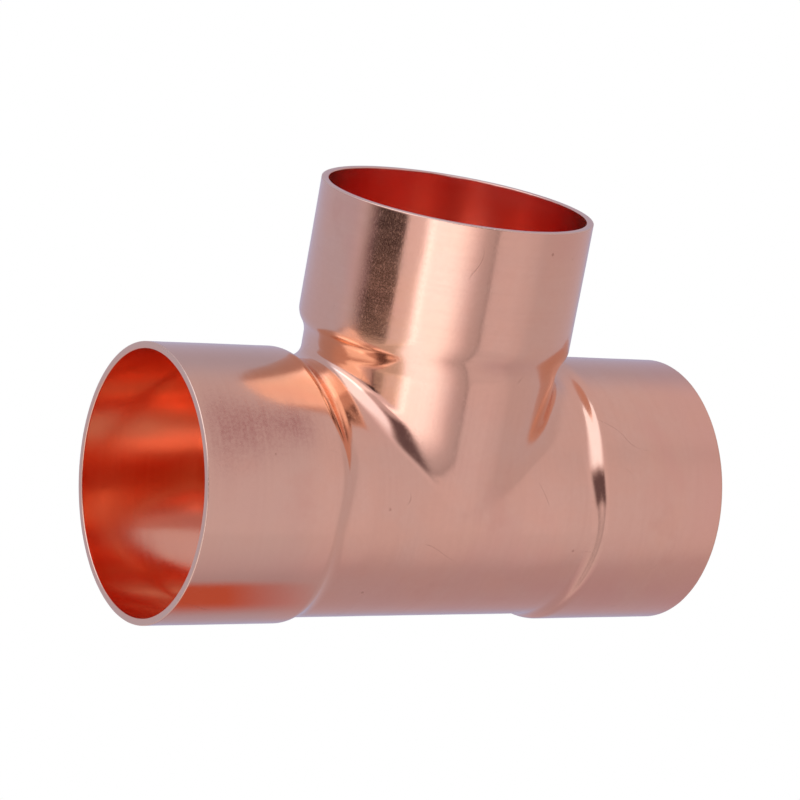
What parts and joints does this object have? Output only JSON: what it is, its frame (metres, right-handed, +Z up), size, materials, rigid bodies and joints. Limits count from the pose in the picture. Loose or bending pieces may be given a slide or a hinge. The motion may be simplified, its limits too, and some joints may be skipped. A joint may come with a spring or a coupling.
{
  "type": "copper pipe tee",
  "caption": "Seamless copper tee with equal plain solder sockets on the run and the branch, rounded shoulders and a filleted neck.",
  "frame": {"origin": "on the ground plane under the branch axis, midway between the two run faces; the run axis and the branch axis cross 28.525 mm above it", "axes": "+X along the run, +Z up the branch axis towards the branch face, +Y across the run"},
  "size_m": [0.125, 0.057, 0.091],
  "materials": {
    "copper": "satin"
  },
  "bodies": {
    "root": {"tee_body": "copper"}
  },
  "joints": []
}
